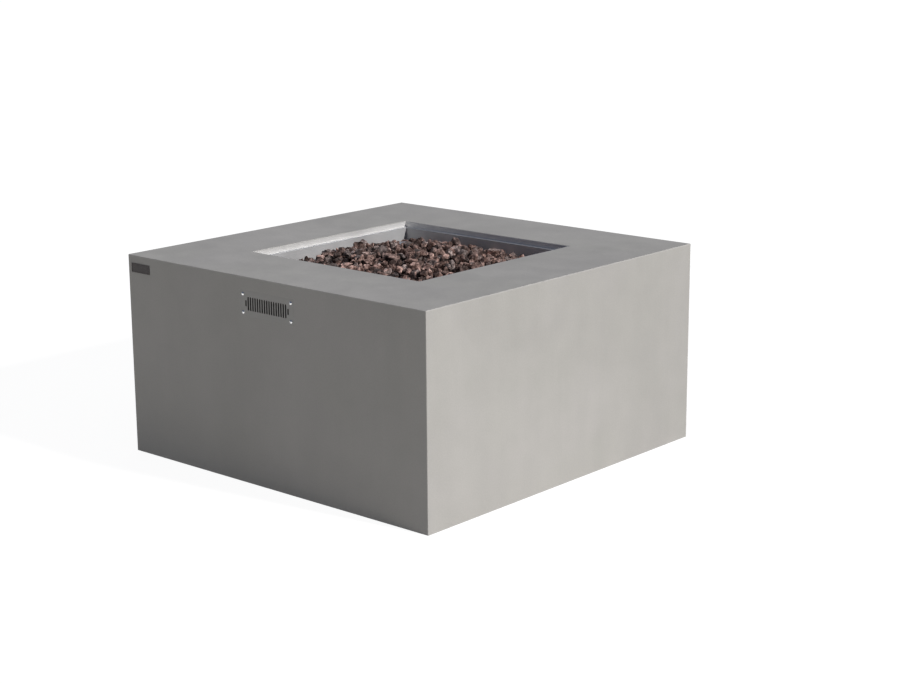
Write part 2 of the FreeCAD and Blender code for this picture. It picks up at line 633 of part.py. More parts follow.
def control_knob():
    """A fluted knob: a skirt over the neck nut and a solid face that takes the stem."""
    body = new_body("control_knob")
    profile = new_sketch(body, "XZ_Plane")
    top, face = "knob_gap + knob_high", "knob_gap + knob_high - knob_face"
    polygon(profile, [("stem + fit", face), ("knob - knob_wall", face), ("knob - knob_wall", "knob_gap"),
                      ("knob", "knob_gap"), ("knob", "knob_gap + 3"), ("knob - 2", "knob_gap + 4"),
                      ("knob - 3", f"{top} - 2"), ("knob - 5", top), ("stem + fit", top)])
    turned = body.newObject("PartDesign::Revolution", "Revolution")
    turned.Profile = profile
    turned.ReferenceAxis = (profile, ["V_Axis"])
    turned.Angle = 360
    body.Tip = turned
    flute = new_sketch(body, offset="knob_gap + 4")
    circle(flute, "knob + knob_flute / 3", "0", "knob_flute")
    first = feature(body, "Pocket", flute, "knob_high", reverse=True)
    flutes = body.newObject("PartDesign::PolarPattern", "Flutes")
    flutes.Originals = [first]
    flutes.Axis = (flute, ["N_Axis"])
    flutes.Angle = 360
    bind(flutes, Occurrences="knob_flute_count")
    body.Tip = flutes
    body.Placement = Placement(Vector(), TO_LEFT)
    bind(body, x=FACE, z="panel_z")
    pointer_out = f"{FACE} - ({top})"
    keep(solid("Box", Length="0.8", Width="2", Height="11", x=f"{pointer_out} - 0.8", y="-1",
               z="panel_z + 8"), "knob_pointer")
    keep(solid("Cylinder", TO_LEFT, Radius="stem + 3", Height="1.2", x=pointer_out, z="panel_z"), "knob_cap")


def igniter():
    """A push-button spark unit: body with its battery inside, nut behind the panel, screw cap and button."""
    place = {"y": "igniter_y", "z": "panel_z"}
    inside_x = f"{FACE} + igniter_long"
    tube = solid("Cylinder", TO_LEFT, Radius="igniter", Height="igniter_long", x=inside_x, **place)
    flange = solid("Cylinder", TO_LEFT, Radius="igniter_flange", Height="igniter_flange_thick", x=FACE, **place)
    well = solid("Cylinder", TO_LEFT, Radius="battery + 0.4", Height="igniter_long", x=f"{inside_x} - 8", **place)
    keep(cut(fuse(tube, flange), well), "igniter_body")
    keep(hex_nut("6", "igniter + 6", "igniter + fit", TO_RIGHT, x=f"{FACE} + sheet", **place), "igniter_nut")
    keep(solid("Cylinder", TO_LEFT, Radius="battery", Height="battery_long", x=f"{inside_x} - 9", **place),
         "igniter_battery")
    cap_x = f"{FACE} - igniter_flange_thick - button_gap"
    cap = solid("Cylinder", TO_LEFT, Radius="cap", Height="cap_long", x=cap_x, **place)
    hole = solid("Cylinder", TO_LEFT, Radius="button + 0.4", Height="cap_long", x=cap_x, **place)
    keep(cut(cap, hole), "igniter_cap")
    keep(solid("Cylinder", TO_LEFT, Radius="button", Height="cap_long + button_proud - button_travel",
               x=f"{cap_x} - button_travel", **place), "igniter_button")


# gas inlet, hoses and leads


def gas_inlet():
    """A bulkhead fitting through the back wall: male flare outside, hose end inside, nut and rose."""
    back = "side / 2"
    place = {"x": "inlet_x", "z": "inlet_z"}
    keep(ring("2", "rose", "inlet_body + fit", TO_BACK, y=back, **place), "inlet_rose")
    stub = solid("Cylinder", TO_BACK, Radius="inlet_thread", Height="inlet_thread_long",
                 y=f"{back} + 2 + inlet_hex_thick", **place)
    nut = solid("Prism", TO_BACK, Circumradius="inlet_hex", Height="inlet_hex_thick", y=f"{back} + 2", **place)
    shank = solid("Cylinder", TO_FRONT, Radius="inlet_body", Height="inlet_body_long", y=f"{back} + 2", **place)
    way = solid("Cylinder", TO_BACK, Radius="inlet_thread - 3", Height="2 * inlet_body_long",
                y=f"{back} - inlet_body_long", **place)
    keep(cut(fuse(stub, nut, shank), way), "inlet_fitting")
    keep(hex_nut("6", "inlet_hex", "inlet_body + fit", TO_FRONT, y=f"{back} - wall", **place), "inlet_locknut")


def hose_nuts():
    """The union nuts on the four hose ends."""
    valve_x = f"{FACE} + valve_back + valve_long / 2"
    ends = ((DOWN, {"x": valve_x, "z": "panel_z - valve_high / 2 - union_long"}),
            (TO_BACK, {"x": valve_x, "y": "valve_wide / 2 + union_long", "z": "panel_z"}),
            (TO_LEFT, {"x": "-elbow_long", "z": "pan_floor_z - mixer_drop"}),
            (TO_FRONT, {"x": "inlet_x", "y": "side / 2 + 2 - inlet_body_long", "z": "inlet_z"}))
    keep(group(*[hex_nut("hose_nut_long", "hose_nut", "hose + fit", turn, **place) for turn, place in ends]),
         "hose_nuts")


def hoses_and_leads():
    """The two hoses and the two thin leads, along their routes inside the shell."""
    half, z = SIZES["side"] / 2, SIZES["panel_z"]
    valve_x = -half + SIZES["valve_back"] + SIZES["valve_long"] / 2
    under = z - SIZES["valve_high"] / 2 - SIZES["union_long"]
    mixer_z = SIZES["pan_floor_z"] - SIZES["mixer_drop"]
    sag = mixer_z - 21
    pipe("burner_hose", [Vector(valve_x, 0, under), Vector(valve_x, 0, sag), Vector(-180, 0, sag),
                         Vector(-100, 0, mixer_z), Vector(-SIZES["elbow_long"], 0, mixer_z)], SIZES["hose"], 66)
    inlet = Vector(SIZES["inlet_x"], half + 2 - SIZES["inlet_body_long"], SIZES["inlet_z"])
    side_y = SIZES["valve_wide"] / 2 + SIZES["union_long"]
    pipe("inlet_hose", [Vector(valve_x, side_y, z), Vector(valve_x, 250, z), Vector(inlet.x, 340, inlet.z),
                        inlet], SIZES["hose"], 80)
    low = SIZES["pan_floor_z"] - SIZES["lead_below"]
    root = math.sqrt(0.5)

    def probe(along):
        return ((along - SIZES["guard_out"]) * root, (along + SIZES["guard_out"]) * root)

    ex, ey = probe(-SIZES["probe_apart"])
    tx, ty = probe(SIZES["probe_apart"])
    spark_x, spark_y = -half + SIZES["igniter_long"], SIZES["igniter_y"]
    pipe("ignition_lead", [Vector(spark_x, spark_y, z), Vector(spark_x + 34, spark_y, z),
                           Vector(spark_x + 34, spark_y, 362), Vector(ex, ey, 362), Vector(ex, ey, low)], 1.6, 16)
    back_x = -half + SIZES["valve_back"] + SIZES["valve_long"]
    pipe("thermocouple_lead", [Vector(back_x, 8, z), Vector(back_x + 30, 8, z), Vector(back_x + 30, 8, 374),
                               Vector(tx, ty, 374), Vector(tx, ty, low)], 1.2, 15)


# feet and heat shield


def bracket_spots(sx, sy):
    """The two screw places of a corner's foot bracket."""
    near, far = "(side / 2 - wall - rim_width / 2)", "(side / 2 - wall - bracket + 12)"
    return [(f"{sx} * {near}", f"{sy} * {far}"), (f"{sx} * {far}", f"{sy} * {near}")]


def levelling_feet():
    """Four screw feet through brackets fixed on the foot rim; wound right in, they stand at the rim's level."""
    brackets, nuts, screws = [], [], []
    for number, (sx, sy) in enumerate(CORNERS, start=1):
        x, y = f"{sx} * (side / 2 - foot_in)", f"{sy} * (side / 2 - foot_in)"
        pad = solid("Cylinder", Radius="foot_pad", Height="foot_pad_high / 2", x=x, y=y)
        cone = solid("Cone", Radius1="foot_pad", Radius2="foot_stem + 3", Height="foot_pad_high / 2",
                     x=x, y=y, z="foot_pad_high / 2")
        stem = solid("Cylinder", Radius="foot_stem", Height="foot_stem_long", x=x, y=y, z="foot_pad_high / 2")
        keep(fuse(pad, cone, stem), f"levelling_foot_{number}")
        edge_x = f"{sx} * (side / 2 - wall - bracket_gap) - bracket * {(1 + sx) // 2}"
        edge_y = f"{sy} * (side / 2 - wall - bracket_gap) - bracket * {(1 + sy) // 2}"
        plate = solid("Box", Length="bracket", Width="bracket", Height="bracket_thick",
                      x=edge_x, y=edge_y, z="rim_height")
        hole = solid("Cylinder", Radius="foot_stem + 0.4", Height="bracket_thick", x=x, y=y, z="rim_height")
        spots = bracket_spots(sx, sy)
        holes = [solid("Cylinder", Radius="screw_shank + fit", Height="bracket_thick", x=u, y=v, z="rim_height")
                 for u, v in spots]
        brackets.append(cut(plate, hole, *holes))
        nuts.append(hex_nut("weld_nut_high", "weld_nut", "foot_stem + 0.4", x=x, y=y,
                            z="rim_height + bracket_thick"))
        screws += [button_screw(Rotation(), x=u, y=v, z="rim_height + bracket_thick") for u, v in spots]
    keep(group(*brackets), "foot_brackets")
    keep(group(*nuts), "foot_nuts")
    keep(group(*screws), "bracket_screws")


def shield_spots():
    return [("shield_x - shield_lip / 2", f"shield_y {sign} shield_wide / 3") for sign in "-+"]


def heat_shield():
    """A hanging sheet between the hot pan and the valve, with a lip screwed under the deck."""
    top, side_y = "tall - deck", "shield_y - shield_wide / 2"
    sheet = solid("Box", Length="shield_sheet", Width="shield_wide", Height=f"{top} - shield_bottom",
                  x="shield_x", y=side_y, z="shield_bottom")
    lip = solid("Box", Length="shield_lip", Width="shield_wide", Height="shield_sheet",
                x="shield_x - shield_lip + shield_sheet", y=side_y, z=f"{top} - shield_sheet")
    holes = [solid("Cylinder", Radius="screw_shank + fit", Height="shield_sheet", x=x, y=y,
                   z=f"{top} - shield_sheet") for x, y in shield_spots()]
    keep(cut(fuse(sheet, lip), *holes), "heat_shield")
    keep(group(*[button_screw(DOWN, x=x, y=y, z=f"{top} - shield_sheet") for x, y in shield_spots()]),
         "shield_screws")


# lava rock


def rock_bed():
    """The buried rock as one mass that fills the pan round the burner, standing clear of it."""
    body = new_body("rock_bed")
    bottom = "pan_floor_z + sheet + bed_gap"
    block = new_sketch(body, offset=bottom)
    rectangle(block, "0", "0", "pan - 2 * bed_gap", "pan - 2 * bed_gap")
    feature(body, "Pad", block, f"bed_top - ({bottom})")
    channel_high = "ring_up + ring_big_tube + bed_clear"
    for radius, tube in (("ring_big", "ring_big_tube"), ("ring_small", "ring_small_tube")):
        channel = new_sketch(body, offset=bottom)
        circle(channel, "0", "0", f"{radius} + {tube} + bed_clear")
        circle(channel, "0", "0", f"{radius} - {tube} - bed_clear")
        feature(body, "Pocket", channel, channel_high, reverse=True)
    hub = new_sketch(body, offset=bottom)
    circle(hub, "0", "0", "hub + bed_clear")
    feature(body, "Pocket", hub, "ring_up + hub_high / 2 + bed_clear", reverse=True)
    for wide, high in (("2 * ring_big", "2 * (ring_small_tube + bed_clear)"),
                       ("2 * (ring_small_tube + bed_clear)", "2 * ring_big")):
        cross = new_sketch(body, offset=bottom)
        rectangle(cross, "0", "0", wide, high)
        feature(body, "Pocket", cross, channel_high, reverse=True)
    guard_room = new_sketch(body)
    circle(guard_room, *guard_point("0", "0"), "guard_clear")
    feature(body, "Pocket", guard_room)


def ball_faces():
    """The corners and triangles of a regular icosahedron of unit radius."""
    golden = (1 + math.sqrt(5)) / 2
    long = math.sqrt(1 + golden * golden)
    corners = []
    for a in (-1, 1):
        for b in (-golden, golden):
            corners += [Vector(0, a, b) / long, Vector(a, b, 0) / long, Vector(b, 0, a) / long]
    near = 2 / long * 1.01
    faces = []
    for i, p in enumerate(corners):
        for j in range(i + 1, len(corners)):
            for k in range(j + 1, len(corners)):
                q, r = corners[j], corners[k]
                if p.distanceToPoint(q) < near and q.distanceToPoint(r) < near and r.distanceToPoint(p) < near:
                    faces.append((i, j, k))
    return corners, faces


def lava_rocks():
    """The rocks that show: faceted lumps in a full lower layer and a heap over the middle, none touching."""
    draw = random.Random(SIZES["rock_seed"])
    corners, faces = ball_faces()
    guard_x = -SIZES["guard_out"] * math.sqrt(0.5)
    keep_off = SIZES["guard_clear"] + SIZES["rock_big"] / 2
    pitch, shift = SIZES["rock_pitch"], SIZES["rock_shift"]
    layers = ((SIZES["rock_low"], SIZES["side"]), (SIZES["rock_high"], SIZES["rock_high_reach"]))
    rocks = []
    for layer, (height, reach) in enumerate(layers):
        count = SIZES["rocks_across"] - layer
        for row in range(count):
            for column in range(count):
                x = (column - (count - 1) / 2) * pitch + draw.uniform(-shift, shift)
                y = (row - (count - 1) / 2) * pitch + draw.uniform(-shift, shift)
                spans = [draw.uniform(SIZES["rock_small"], SIZES["rock_big"]) for _ in range(3)]
                turn = Rotation(draw.uniform(0, 360), draw.uniform(0, 360), draw.uniform(0, 360))
                if math.hypot(x, y) > reach or math.hypot(x - guard_x, y + guard_x) < keep_off:
                    continue
                crown = SIZES["rock_crown"] * (1 - (math.hypot(x, y) / SIZES["rock_heap"]) ** 2)
                middle = Vector(x, y, height + max(crown, 0))
                points = [turn.multVec(Vector(*(c * s for c, s in zip(p, spans)))) + middle for p in corners]
                sides = [Part.Face(Part.makePolygon([points[i], points[j], points[k], points[i]]))
                         for i, j, k in faces]
                rocks.append(Part.Solid(Part.Shell(sides)))
    for rock in rocks:
        if rock.Volume < 0:
            rock.reverse()
    heap = doc.addObject("Part::Feature", "lava_rocks")
    heap.Shape = Part.makeCompound(rocks)
    keep(heap, "lava_rocks")


def build():
    fill_sheet()
    concrete_shell()
    nameplate()
    vent_grille("front_vent_grille", Rotation())
    vent_grille("rear_vent_grille", HALF_TURN)
    vent_screws("front_vent_screws", TO_FRONT, "-side / 2")
    vent_screws("rear_vent_screws", TO_BACK, "side / 2")
    burner_pan()
    pan_gasket()
    burner()
    gas_mixer()
    ignition_guard()
    igniter_probes()
    guard_screws()
    control_panel()
    control_valve()
    control_knob()
    igniter()
    gas_inlet()
    hose_nuts()
    hoses_and_leads()
    levelling_feet()
    heat_shield()
    rock_bed()
    lava_rocks()
    doc.recompute()


def export():
    """Stops on any failed object or bad shape, then writes one STEP file per piece."""
    failed = [thing.Label for thing in doc.Objects if "Invalid" in thing.State or "Error" in thing.State]
    if failed:
        raise SystemExit(f"these objects failed: {failed}")
    os.makedirs("parts", exist_ok=True)
    for node in nodes:
        shape = node.Shape
        if shape.isNull() or not shape.isValid() or not shape.Solids:
            raise SystemExit(f"{node.Label} has no valid solid")
        shape.exportStep(f"parts/{node.Label}.step")
        print(f"{node.Label}: {len(shape.Solids)} solids, {shape.Volume:.0f} mm3")


build()
export()
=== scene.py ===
"""Looks of the concrete fire pit table: materials, loose lava rock, fasteners, camera and light. Metres."""

import json
import math

import bmesh
import bpy
import numpy as np
from mathutils import Matrix, Vector


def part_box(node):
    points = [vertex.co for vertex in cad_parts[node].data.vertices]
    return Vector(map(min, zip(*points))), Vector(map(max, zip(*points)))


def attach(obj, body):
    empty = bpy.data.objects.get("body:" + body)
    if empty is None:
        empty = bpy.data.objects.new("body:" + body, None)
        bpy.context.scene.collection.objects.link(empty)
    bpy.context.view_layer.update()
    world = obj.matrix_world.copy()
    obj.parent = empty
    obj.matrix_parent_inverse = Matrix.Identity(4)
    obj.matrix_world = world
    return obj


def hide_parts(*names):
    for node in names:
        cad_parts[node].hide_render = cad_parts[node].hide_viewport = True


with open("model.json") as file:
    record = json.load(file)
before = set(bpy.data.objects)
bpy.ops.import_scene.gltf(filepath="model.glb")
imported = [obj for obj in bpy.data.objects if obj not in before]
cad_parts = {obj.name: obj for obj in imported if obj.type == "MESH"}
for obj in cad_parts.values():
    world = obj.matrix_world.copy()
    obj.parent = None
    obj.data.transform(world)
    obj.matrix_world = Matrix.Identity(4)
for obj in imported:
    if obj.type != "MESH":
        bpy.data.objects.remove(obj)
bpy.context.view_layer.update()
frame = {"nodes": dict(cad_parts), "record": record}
nodes = frame["nodes"]
scene = bpy.context.scene

# the shell's outside, the square mouth in its deck, and the size of every screw head
SIDE = 1.1
TALL = 0.56
MOUTH = 0.62
HEAD_RADIUS = 0.00475
HEAD_HIGH = 0.0026


# materials


class Shader:
    """A node material under construction, with short ways to add nodes."""

    def __init__(self, name):
        self.material = bpy.data.materials.new(name)
        self.material.use_nodes = True
        self.tree = self.material.node_tree
        self.surface = self.tree.nodes["Principled BSDF"]
        self.place = self.tree.nodes.new("ShaderNodeTexCoord").outputs["Object"]

    def add(self, kind, inputs=None, **settings):
        node = self.tree.nodes.new("ShaderNode" + kind)
        for key, value in settings.items():
            setattr(node, key, value)
        for key, value in (inputs or {}).items():
            self.feed(node.inputs[key], value)
        return node

    def feed(self, socket, value):
        if isinstance(value, bpy.types.NodeSocket):
            self.tree.links.new(value, socket)
        else:
            socket.default_value = value

    def math(self, operation, *values, clamp=False):
        node = self.add("Math", operation=operation, use_clamp=clamp)
        for index, value in enumerate(values):
            self.feed(node.inputs[index], value)
        return node.outputs[0]

    def ramp(self, value, low, high, out_low=0.0, out_high=1.0):
        """value from low..high to out_low..out_high, smoothly and clamped."""
        return self.add("MapRange", {0: value, 1: low, 2: high, 3: out_low, 4: out_high},
                        interpolation_type="SMOOTHSTEP").outputs[0]

    def stretch(self, x, y, z, turn=(0, 0, 0)):
        return self.add("Mapping", {"Vector": self.place, "Scale": (x, y, z), "Rotation": turn}).outputs[0]

    def noise(self, scale, detail=3.0, roughness=0.5, vector=None, distortion=0.0):
        return self.add("TexNoise", {"Vector": vector or self.place, "Scale": scale, "Detail": detail,
                                     "Roughness": roughness, "Distortion": distortion}).outputs["Fac"]

    def cells(self, scale):
        return self.add("TexVoronoi", {"Vector": self.place, "Scale": scale, "Randomness": 1.0}, feature="F1")

    def mix(self, share, a, b, blend="MIX"):
        node = self.add("Mix", data_type="RGBA", blend_type=blend)
        for socket, value in zip((node.inputs[0], node.inputs[6], node.inputs[7]), (share, a, b)):
            self.feed(socket, value)
        return node.outputs[2]

    def shade(self, colour, factor):
        """colour times a grey factor."""
        grey = self.add("CombineColor", {0: factor, 1: factor, 2: factor}).outputs[0]
        return self.mix(1.0, colour, grey, "MULTIPLY")

    def bump(self, *layers):
        """Stacks (height, depth in metres) layers into one normal."""
        normal = None
        for height, depth in layers:
            node = self.add("Bump", {"Height": height, "Distance": depth, "Strength": 1.0})
            if normal:
                self.tree.links.new(normal, node.inputs["Normal"])
            normal = node.outputs[0]
        return normal

    def finish(self, **inputs):
        for key, value in inputs.items():
            self.feed(self.surface.inputs[key.replace("_", " ")], value)
        return self.material


def rgb(red, green, blue):
    return (red, green, blue, 1.0)


def concrete():
    """Smooth sealed cast concrete: cloudy, fine grained, a few air holes darkened with painted shade, paler
    worn edges; painted shade inside the shell.
    """
    s = Shader("concrete")
    clouds = s.noise(2.6, 6, 0.55, distortion=0.4)
    patches = s.noise(13, 5, 0.6)
    grain = s.noise(240, 3, 0.6)
    drag = s.noise(1.0, 4, 0.6, s.stretch(16, 16, 1.6))
    holes = s.cells(42)
    few = s.math("GREATER_THAN", s.add("SeparateColor", {0: holes.outputs["Color"]}).outputs[0], 0.72)
    wide = s.math("MULTIPLY", s.add("SeparateColor", {0: holes.outputs["Color"]}).outputs[1], 0.028)
    from_hole = s.math("DIVIDE", holes.outputs["Distance"], s.math("ADD", wide, 0.012))
    pit = s.math("MULTIPLY", s.math("SUBTRACT", 1.0, from_hole, clamp=True), few)
    axis = s.add("SeparateXYZ", {0: s.place})
    x, y = (s.math("ABSOLUTE", axis.outputs[i]) for i in (0, 1))
    from_x = s.math("ABSOLUTE", s.math("SUBTRACT", SIDE / 2, x))
    from_y = s.math("ABSOLUTE", s.math("SUBTRACT", SIDE / 2, y))
    from_top = s.math("ABSOLUTE", s.math("SUBTRACT", TALL, axis.outputs[2]))
    from_mouth = s.math("ABSOLUTE", s.math("SUBTRACT", s.math("MAXIMUM", x, y), MOUTH / 2))
    total = s.math("ADD", s.math("ADD", from_x, from_y), from_top)
    least = s.math("MINIMUM", s.math("MINIMUM", from_x, from_y), from_top)
    most = s.math("MAXIMUM", s.math("MAXIMUM", from_x, from_y), from_top)
    outer = s.math("SUBTRACT", s.math("SUBTRACT", total, least), most)
    edge = s.math("MINIMUM", outer, s.math("MAXIMUM", from_mouth, from_top))
    ragged = s.math("ADD", edge, s.math("MULTIPLY", s.noise(90, 4, 0.7), 0.004))
    worn = s.ramp(ragged, 0.0022, 0.0062, 1.0, 0.0)
    tone = s.math("ADD", s.ramp(clouds, 0.3, 0.7, 0.955, 1.035), s.ramp(patches, 0.3, 0.7, -0.022, 0.022))
    tone = s.math("ADD", tone, s.ramp(grain, 0.3, 0.7, -0.03, 0.03))
    tone = s.math("ADD", tone, s.ramp(drag, 0.35, 0.7, -0.012, 0.012))
    tone = s.math("ADD", tone, s.math("MULTIPLY", worn, 0.10))
    # painted shade: the colour is darkened in the air holes, on top of their bump dent
    tone = s.math("MULTIPLY", tone, s.math("SUBTRACT", 1.0, s.math("MULTIPLY", pit, 0.55)))
    # painted shade: the shell's inside faces below the deck are darkened to a fifth of their tone
    painted_shade_inside = s.math("MULTIPLY", s.math("LESS_THAN", s.math("MAXIMUM", x, y), SIDE / 2 - 0.0015),
                    s.math("LESS_THAN", axis.outputs[2], 0.50))
    tone = s.math("MULTIPLY", tone, s.math("SUBTRACT", 1.0, s.math("MULTIPLY", painted_shade_inside, 0.8)))
    warm = s.mix(s.ramp(s.noise(4.2, 4, 0.5), 0.35, 0.65), rgb(0.388, 0.382, 0.368), rgb(0.392, 0.384, 0.374))
    return s.finish(Base_Color=s.shade(warm, tone), Roughness=s.ramp(patches, 0.2, 0.8, 0.62, 0.78),
                    Specular_IOR_Level=0.4,
                    Normal=s.bump((s.noise(38, 4, 0.5), 0.00035), (grain, 0.00012), (pit, -0.0011)))


def steel(name, colour, rough, along, streak=0.05, wave=0.0, stain=0.0, ridge=0.00002, metallic=1.0):
    """Satin sheet, brushed along y, or round: any level direction."""
    s = Shader(name)
    fine, long = 1400.0, 9.0
    scales = {"y": (fine, long, fine), "round": (long, long, fine)}
    lines = s.noise(1.0, 3, 0.65, s.stretch(*scales[along]))
    broad = s.noise(6.5, 4, 0.55)
    tone = s.math("ADD", s.ramp(lines, 0.3, 0.7, 1 - streak, 1 + streak),
                  s.ramp(broad, 0.3, 0.7, -0.03, 0.03))
    spots = s.ramp(s.noise(75, 5, 0.7), 0.58, 0.72)
    tone = s.math("SUBTRACT", tone, s.math("MULTIPLY", spots, stain))
    roughness = s.math("ADD", s.ramp(broad, 0.25, 0.75, rough - 0.05, rough + 0.06),
                       s.ramp(lines, 0.3, 0.7, -0.03, 0.03))
    roughness = s.math("ADD", roughness, s.math("MULTIPLY", spots, stain))
    layers = [(lines, ridge)]
    if wave:
        layers.insert(0, (s.noise(7, 2, 0.4), wave))
    return s.finish(Base_Color=s.shade(colour, tone), Metallic=metallic, Roughness=roughness,
                    Normal=s.bump(*layers))


def plain_metal(name, colour, rough, scratch=0.04, metallic=1.0):
    """Turned, plated or cast metal with fine random scratches and dull spots."""
    s = Shader(name)
    broad = s.noise(60, 4, 0.6)
    scratches = s.noise(1.0, 2, 0.6, s.stretch(260, 1900, 640, (0.6, 0.3, 0.9)))
    tone = s.math("ADD", s.ramp(broad, 0.3, 0.7, 0.93, 1.05),
                  s.ramp(scratches, 0.35, 0.65, -scratch, scratch))
    return s.finish(Base_Color=s.shade(colour, tone), Metallic=metallic,
                    Roughness=s.ramp(broad, 0.25, 0.75, rough - 0.06, rough + 0.08),
                    Normal=s.bump((scratches, 0.00001), (broad, 0.00003)))


def moulded(name, colour, rough, grain=0.00004, dust=0.05, painted_slot_shade=False):
    """Moulded plastic, rubber or enamel, with a fine grain and dust; painted shade on the slot sides behind
    its face if asked.
    """
    s = Shader(name)
    fine = s.noise(1500, 2, 0.5)
    cloud = s.noise(30, 4, 0.6)
    dusty = s.mix(s.ramp(cloud, 0.45, 0.75, 0.0, dust), colour, rgb(0.42, 0.40, 0.37))
    tone = s.ramp(fine, 0.3, 0.7, 0.94, 1.06)
    if painted_slot_shade:
        # painted shade: the slot sides behind the face are darkened down to 0.12 of their tone
        y = s.math("ABSOLUTE", s.add("SeparateXYZ", {0: s.place}).outputs[1])
        tone = s.math("MULTIPLY", tone, s.ramp(y, SIDE / 2 - 0.0012, SIDE / 2 - 0.0003, 0.12, 1.0))
    return s.finish(Base_Color=s.shade(dusty, tone), Normal=s.bump((fine, grain)),
                    Roughness=s.ramp(cloud, 0.3, 0.7, rough - 0.04, rough + 0.06))


def braided(name, colour, pitch=0.004):
    """Woven hose cover."""
    s = Shader(name)
    weave = [s.add("TexWave", {"Vector": s.stretch(1, 1, 1, (0.8, sign * 0.6, 0.4)), "Scale": 1 / pitch / 3,
                               "Distortion": 1.0, "Detail": 1.0}).outputs["Fac"] for sign in (-1, 1)]
    mesh = s.math("MULTIPLY", weave[0], weave[1])
    return s.finish(Base_Color=s.shade(colour, s.ramp(mesh, 0.0, 0.6, 0.6, 1.2)), Roughness=0.6,
                    Normal=s.bump((mesh, 0.0003)))


def lava(name, painted_shade_buried=False):
    """Porous red-brown volcanic rock, each stone a little different, with pits at two sizes darkened with
    painted shade; darker still with painted shade for the buried rock.
    """
    s = Shader(name)
    each = s.add("NewGeometry").outputs["Random Per Island"]
    soft = s.noise(55, 5, 0.65)
    red = s.mix(s.ramp(soft, 0.38, 0.70), rgb(0.048, 0.025, 0.020), rgb(0.50, 0.335, 0.295))
    grey = s.mix(s.ramp(soft, 0.38, 0.70), rgb(0.042, 0.031, 0.030), rgb(0.41, 0.335, 0.320))
    colour = s.mix(s.ramp(each, 0.45, 0.95), red, grey)
    light = s.add("TexWhiteNoise", {"W": each}, noise_dimensions="1D").outputs["Value"]
    small = s.cells(620)
    big = s.cells(270)
    small_pit = s.ramp(small.outputs["Distance"], 0.16, 0.46, 1.0, 0.0)
    big_pit = s.ramp(big.outputs["Distance"], 0.18, 0.44, 1.0, 0.0)
    some = s.math("MULTIPLY", big_pit, s.ramp(s.noise(90, 2), 0.42, 0.55))
    tone = s.ramp(light, 0.0, 1.0, 0.44, 1.74)
    # painted shade: the colour is darkened in the small and large pits, on top of their bump dents
    tone = s.math("MULTIPLY", tone, s.math("SUBTRACT", 1.0, s.math("MULTIPLY", small_pit, 0.5)))
    tone = s.math("MULTIPLY", tone, s.math("SUBTRACT", 1.0, s.math("MULTIPLY", some, 0.6)))
    # painted shade: the buried rock under the loose stones is darkened to 0.6 of its tone
    if painted_shade_buried:
        tone = s.math("MULTIPLY", tone, 0.6)
    dust = s.ramp(s.noise(310, 4, 0.7), 0.55, 0.8, 0.0, 0.35)
    pale = s.mix(dust, s.shade(colour, tone), rgb(0.68, 0.57, 0.53))
    return s.finish(Base_Color=pale, Roughness=0.92, Specular_IOR_Level=0.25,
                    Normal=s.bump((soft, 0.0009), (some, -0.0016), (small_pit, -0.0006),
                                  (s.noise(1300, 3, 0.6), 0.0002)))


STEEL = rgb(0.60, 0.605, 0.615)
FINISHES = {
    "concrete": concrete(),
    "plate_dark": plain_metal("plate_dark", rgb(0.058, 0.051, 0.050), 0.45, 0.2, metallic=0.5),
    "vent_steel": moulded("vent_steel", rgb(0.335, 0.33, 0.32), 0.45, 0.00005, 0.12, painted_slot_shade=True),
    "screw_steel": plain_metal("screw_steel", rgb(0.90, 0.90, 0.89), 0.20),
    "pan_steel": steel("pan_steel", STEEL, 0.62, "round", 0.025, wave=0.0005, stain=0.04, ridge=0.00001,
                       metallic=0.88),
    "trim_steel": steel("trim_steel", rgb(0.79, 0.785, 0.775), 0.66, "round", 0.015, stain=0.03,
                        ridge=0.000005),
    "burner_steel": plain_metal("burner_steel", rgb(0.36, 0.30, 0.26), 0.38, 0.08),
    "gasket": moulded("gasket", rgb(0.02, 0.02, 0.02), 0.75),
    "brass": plain_metal("brass", rgb(0.72, 0.53, 0.25), 0.28, 0.05),
    "ceramic": moulded("ceramic", rgb(0.78, 0.75, 0.68), 0.35, 0.00002),
    "probe_steel": plain_metal("probe_steel", rgb(0.50, 0.45, 0.40), 0.35),
    "panel_steel": steel("panel_steel", rgb(0.50, 0.495, 0.485), 0.34, "y", 0.05),
    "valve_alloy": plain_metal("valve_alloy", rgb(0.55, 0.55, 0.56), 0.5),
    "knob_black": moulded("knob_black", rgb(0.018, 0.018, 0.019), 0.48, 0.00006),
    "mark_white": moulded("mark_white", rgb(0.80, 0.80, 0.78), 0.5),
    "button_black": moulded("button_black", rgb(0.02, 0.02, 0.02), 0.25, 0.00001),
    "battery": moulded("battery", rgb(0.20, 0.21, 0.23), 0.3, 0.00001),
    "hose_black": braided("hose_black", rgb(0.05, 0.05, 0.05)),
    "lead_white": moulded("lead_white", rgb(0.62, 0.60, 0.56), 0.6),
    "lead_copper": plain_metal("lead_copper", rgb(0.70, 0.38, 0.25), 0.35),
    "zinc": plain_metal("zinc", rgb(0.56, 0.57, 0.58), 0.36, 0.06),
    "foot_black": moulded("foot_black", rgb(0.025, 0.025, 0.025), 0.42, 0.00008),
    "shield": steel("shield", rgb(0.72, 0.72, 0.72), 0.35, "y", 0.04),
    # lava_deep: the same rock with painted shade, for the buried rock under the loose stones
    "lava_deep": lava("lava_deep", painted_shade_buried=True),
    "lava": lava("lava"),
}

slots = {row["node"]: row["material_slot"] for row in frame["record"]["subparts"]}
for name, node in nodes.items():
    node.data.materials.clear()
    node.data.materials.append(FINISHES[slots[name]])


# building


